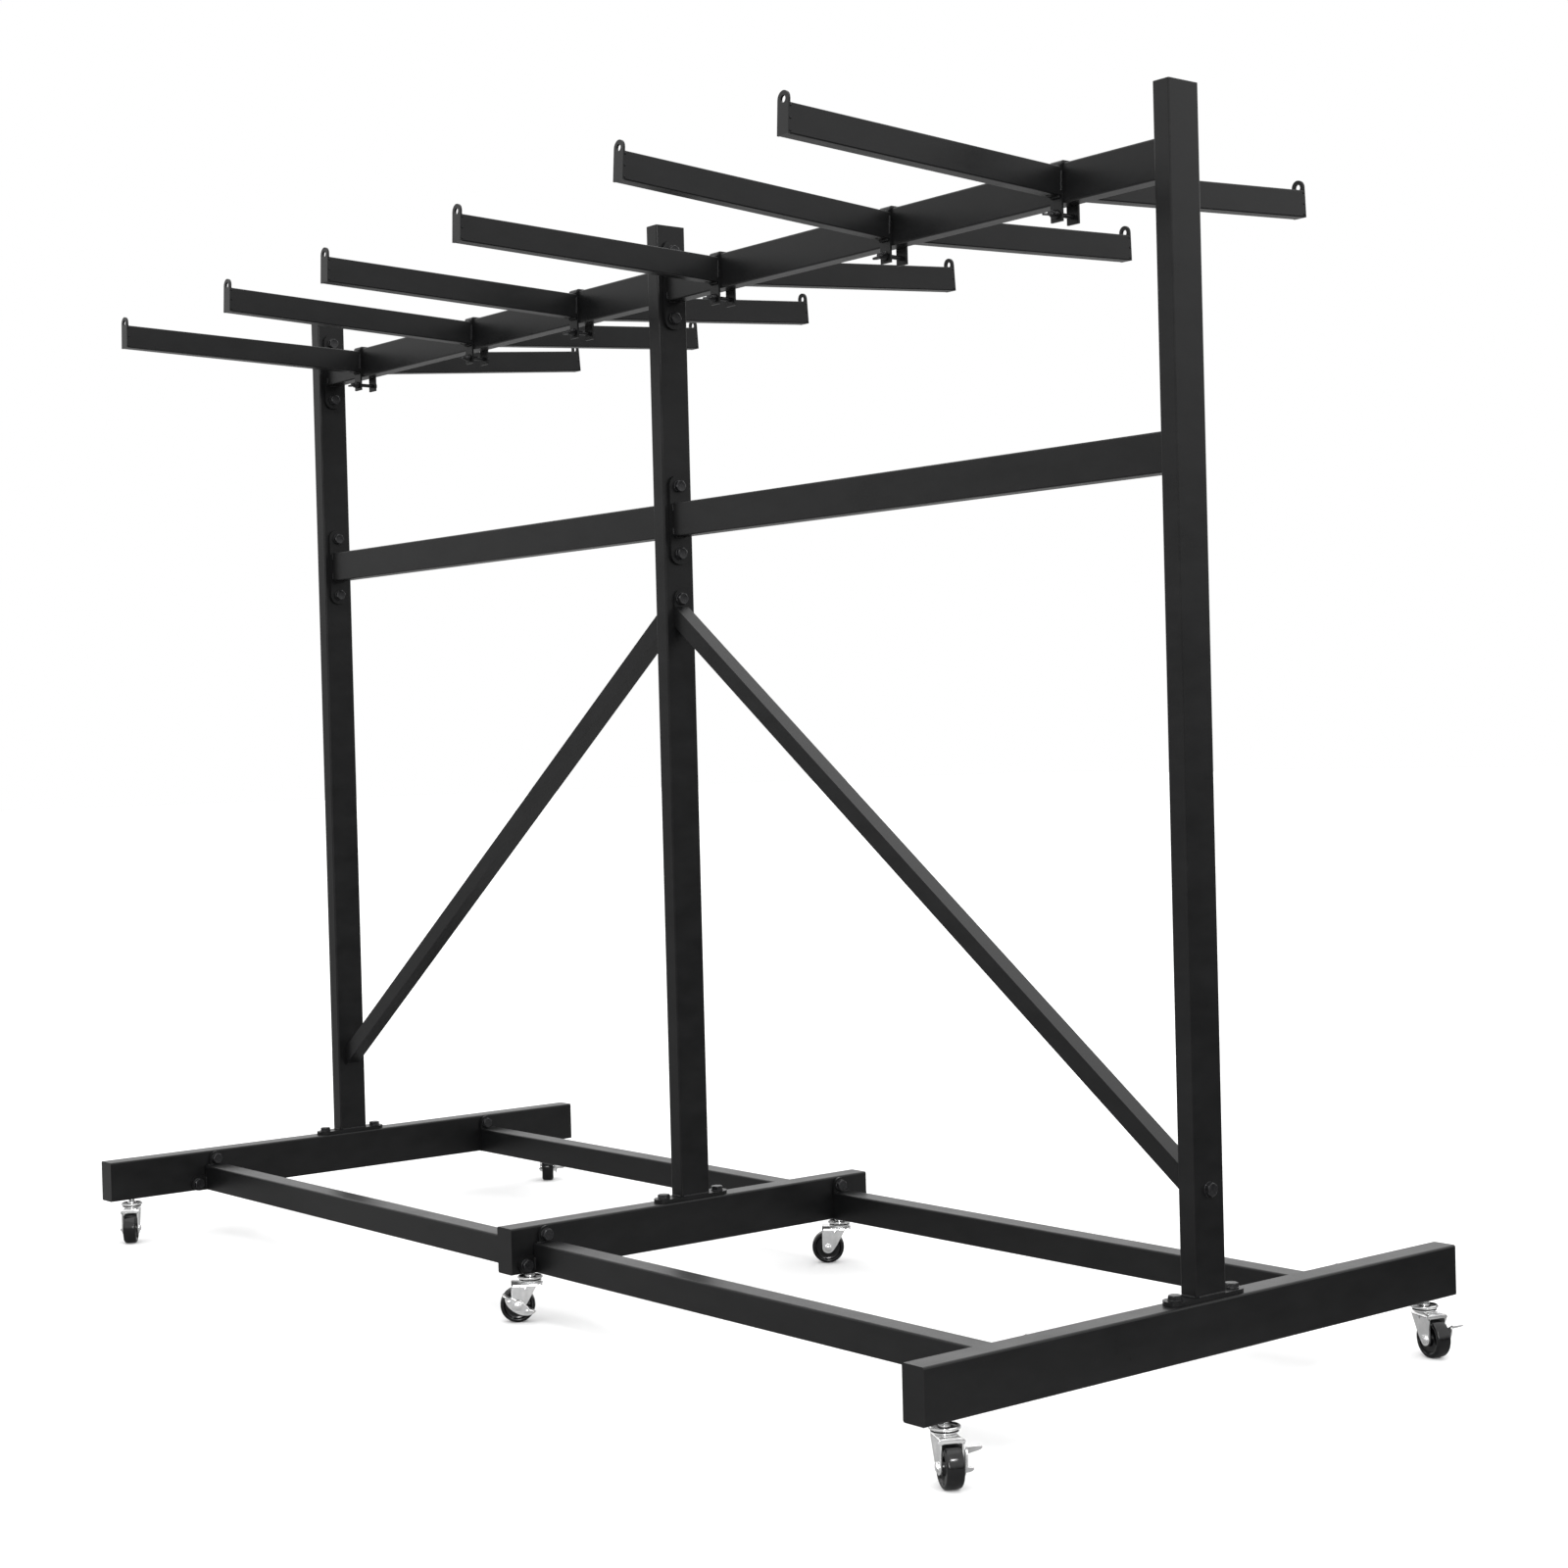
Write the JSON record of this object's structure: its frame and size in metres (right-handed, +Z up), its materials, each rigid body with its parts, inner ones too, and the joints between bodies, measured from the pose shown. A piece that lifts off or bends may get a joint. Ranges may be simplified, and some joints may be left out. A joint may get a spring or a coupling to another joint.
{
  "type": "mobile saddle rack",
  "caption": "Long steel rack on swivel casters; pairs of arms clamped across a top beam hold saddles, held up by braced uprights.",
  "frame": {"origin": "on the floor under the middle upright, at the centre of the rack", "axes": "+X along the rack to the right-hand upright, +Y to the rear arms, +Z up"},
  "size_m": [2.103, 0.939, 1.5925],
  "materials": {
    "powder_black": "satin black powder coat with a fine grain",
    "black_fastener": "black oxide, slightly glossy",
    "bright_zinc": "bright zinc plate on stamped sheet",
    "tyre_black": "glossy hard black wheel, moulded"
  },
  "bodies": {
    "root": {"foot_left": "powder_black", "upright_left": "powder_black", "foot_middle": "powder_black", "upright_middle": "powder_black", "foot_right": "powder_black", "upright_right": "powder_black", "top_beam_left": "powder_black", "mid_rail_left": "powder_black", "brace_left": "powder_black", "base_rail_left_front": "powder_black", "base_rail_left_rear": "powder_black", "top_beam_right": "powder_black", "mid_rail_right": "powder_black", "brace_right": "powder_black", "base_rail_right_front": "powder_black", "base_rail_right_rear": "powder_black", "caster_stem_left_front": "bright_zinc", "caster_stem_left_rear": "bright_zinc", "caster_stem_middle_front": "bright_zinc", "caster_stem_middle_rear": "bright_zinc", "caster_stem_right_front": "bright_zinc", "caster_stem_right_rear": "bright_zinc"},
    "arm_carrier_1": {"arm_pair_1": "powder_black", "clamp_bolt_1": "black_fastener"},
    "wing_nut_body_1": {"wing_nut_1": "black_fastener"},
    "arm_carrier_2": {"arm_pair_2": "powder_black", "clamp_bolt_2": "black_fastener"},
    "wing_nut_body_2": {"wing_nut_2": "black_fastener"},
    "arm_carrier_3": {"arm_pair_3": "powder_black", "clamp_bolt_3": "black_fastener"},
    "wing_nut_body_3": {"wing_nut_3": "black_fastener"},
    "arm_carrier_4": {"arm_pair_4": "powder_black", "clamp_bolt_4": "black_fastener"},
    "wing_nut_body_4": {"wing_nut_4": "black_fastener"},
    "arm_carrier_5": {"arm_pair_5": "powder_black", "clamp_bolt_5": "black_fastener"},
    "wing_nut_body_5": {"wing_nut_5": "black_fastener"},
    "arm_carrier_6": {"arm_pair_6": "powder_black", "clamp_bolt_6": "black_fastener"},
    "wing_nut_body_6": {"wing_nut_6": "black_fastener"},
    "swivel_left_front": {"caster_fork_left_front": "bright_zinc"},
    "roller_left_front": {"caster_wheel_left_front": "tyre_black"},
    "swivel_left_rear": {"caster_fork_left_rear": "bright_zinc"},
    "roller_left_rear": {"caster_wheel_left_rear": "tyre_black"},
    "brake_left_rear": {"caster_brake_left_rear": "bright_zinc"},
    "swivel_middle_front": {"caster_fork_middle_front": "bright_zinc"},
    "roller_middle_front": {"caster_wheel_middle_front": "tyre_black"},
    "brake_middle_front": {"caster_brake_middle_front": "bright_zinc"},
    "swivel_middle_rear": {"caster_fork_middle_rear": "bright_zinc"},
    "roller_middle_rear": {"caster_wheel_middle_rear": "tyre_black"},
    "swivel_right_front": {"caster_fork_right_front": "bright_zinc"},
    "roller_right_front": {"caster_wheel_right_front": "tyre_black"},
    "brake_right_front": {"caster_brake_right_front": "bright_zinc"},
    "swivel_right_rear": {"caster_fork_right_rear": "bright_zinc"},
    "roller_right_rear": {"caster_wheel_right_rear": "tyre_black"},
    "brake_right_rear": {"caster_brake_right_rear": "bright_zinc"}
  },
  "joints": [
    {"name": "arm_slide_1", "type": "slide", "parent": "root", "child": "arm_carrier_1", "axis": [1, 0, 0], "range_m": [-0.08, 0.08]},
    {"name": "wing_nut_turn_1", "type": "hinge", "parent": "arm_carrier_1", "child": "wing_nut_body_1", "pos_m": [-0.889, -0.0221, 1.466], "axis": [0, -1, 0], "continuous": true},
    {"name": "arm_slide_2", "type": "slide", "parent": "root", "child": "arm_carrier_2", "axis": [1, 0, 0], "range_m": [-0.08, 0.08]},
    {"name": "wing_nut_turn_2", "type": "hinge", "parent": "arm_carrier_2", "child": "wing_nut_body_2", "pos_m": [-0.526, -0.0221, 1.466], "axis": [0, -1, 0], "continuous": true},
    {"name": "arm_slide_3", "type": "slide", "parent": "root", "child": "arm_carrier_3", "axis": [1, 0, 0], "range_m": [-0.08, 0.08]},
    {"name": "wing_nut_turn_3", "type": "hinge", "parent": "arm_carrier_3", "child": "wing_nut_body_3", "pos_m": [-0.223, -0.0221, 1.466], "axis": [0, -1, 0], "continuous": true},
    {"name": "arm_slide_4", "type": "slide", "parent": "root", "child": "arm_carrier_4", "axis": [1, 0, 0], "range_m": [-0.08, 0.08]},
    {"name": "wing_nut_turn_4", "type": "hinge", "parent": "arm_carrier_4", "child": "wing_nut_body_4", "pos_m": [0.136, -0.0221, 1.466], "axis": [0, -1, 0], "continuous": true},
    {"name": "arm_slide_5", "type": "slide", "parent": "root", "child": "arm_carrier_5", "axis": [1, 0, 0], "range_m": [-0.08, 0.08]},
    {"name": "wing_nut_turn_5", "type": "hinge", "parent": "arm_carrier_5", "child": "wing_nut_body_5", "pos_m": [0.51, -0.0221, 1.466], "axis": [0, -1, 0], "continuous": true},
    {"name": "arm_slide_6", "type": "slide", "parent": "root", "child": "arm_carrier_6", "axis": [1, 0, 0], "range_m": [-0.08, 0.08]},
    {"name": "wing_nut_turn_6", "type": "hinge", "parent": "arm_carrier_6", "child": "wing_nut_body_6", "pos_m": [0.831, -0.0221, 1.466], "axis": [0, -1, 0], "continuous": true},
    {"name": "swivel_left_front", "type": "hinge", "parent": "root", "child": "swivel_left_front", "pos_m": [-1.018, -0.425, 0.06], "axis": [0, 0, 1], "continuous": true},
    {"name": "wheel_left_front", "type": "hinge", "parent": "swivel_left_front", "child": "roller_left_front", "pos_m": [-1.0024, -0.43513, 0.025], "axis": [0.5446, 0.8387, 0], "continuous": true},
    {"name": "swivel_left_rear", "type": "hinge", "parent": "root", "child": "swivel_left_rear", "pos_m": [-1.018, 0.425, 0.06], "axis": [0, 0, 1], "continuous": true},
    {"name": "wheel_left_rear", "type": "hinge", "parent": "swivel_left_rear", "child": "roller_left_rear", "pos_m": [-1.00258, 0.4146, 0.025], "axis": [0.5592, 0.829, 0], "continuous": true},
    {"name": "brake_left_rear", "type": "hinge", "parent": "swivel_left_rear", "child": "brake_left_rear", "pos_m": [-1.00258, 0.4146, 0.025], "axis": [0.5592, 0.829, 0], "range_deg": [-18, 0]},
    {"name": "swivel_middle_front", "type": "hinge", "parent": "root", "child": "swivel_middle_front", "pos_m": [0, -0.291, 0.06], "axis": [0, 0, 1], "continuous": true},
    {"name": "wheel_middle_front", "type": "hinge", "parent": "swivel_middle_front", "child": "roller_middle_front", "pos_m": [-0.01013, -0.3066, 0.025], "axis": [0.8387, -0.5446, 0], "continuous": true},
    {"name": "brake_middle_front", "type": "hinge", "parent": "swivel_middle_front", "child": "brake_middle_front", "pos_m": [-0.01013, -0.3066, 0.025], "axis": [0.8387, -0.5446, 0], "range_deg": [-18, 0]},
    {"name": "swivel_middle_rear", "type": "hinge", "parent": "root", "child": "swivel_middle_rear", "pos_m": [0, 0.291, 0.06], "axis": [0, 0, 1], "continuous": true},
    {"name": "wheel_middle_rear", "type": "hinge", "parent": "swivel_middle_rear", "child": "roller_middle_rear", "pos_m": [-0.01196, 0.27675, 0.025], "axis": [0.766, -0.6428, 0], "continuous": true},
    {"name": "swivel_right_front", "type": "hinge", "parent": "root", "child": "swivel_right_front", "pos_m": [1.018, -0.425, 0.06], "axis": [0, 0, 1], "continuous": true},
    {"name": "wheel_right_front", "type": "hinge", "parent": "swivel_right_front", "child": "roller_right_front", "pos_m": [1.03472, -0.43315, 0.025], "axis": [0.4384, 0.8988, 0], "continuous": true},
    {"name": "brake_right_front", "type": "hinge", "parent": "swivel_right_front", "child": "brake_right_front", "pos_m": [1.03472, -0.43315, 0.025], "axis": [0.4384, 0.8988, 0], "range_deg": [0, 18]},
    {"name": "swivel_right_rear", "type": "hinge", "parent": "root", "child": "swivel_right_rear", "pos_m": [1.018, 0.425, 0.06], "axis": [0, 0, 1], "continuous": true},
    {"name": "wheel_right_rear", "type": "hinge", "parent": "swivel_right_rear", "child": "roller_right_rear", "pos_m": [1.03579, 0.41956, 0.025], "axis": [0.2924, 0.9563, 0], "continuous": true},
    {"name": "brake_right_rear", "type": "hinge", "parent": "swivel_right_rear", "child": "brake_right_rear", "pos_m": [1.03579, 0.41956, 0.025], "axis": [0.2924, 0.9563, 0], "range_deg": [-18, 0]}
  ]
}
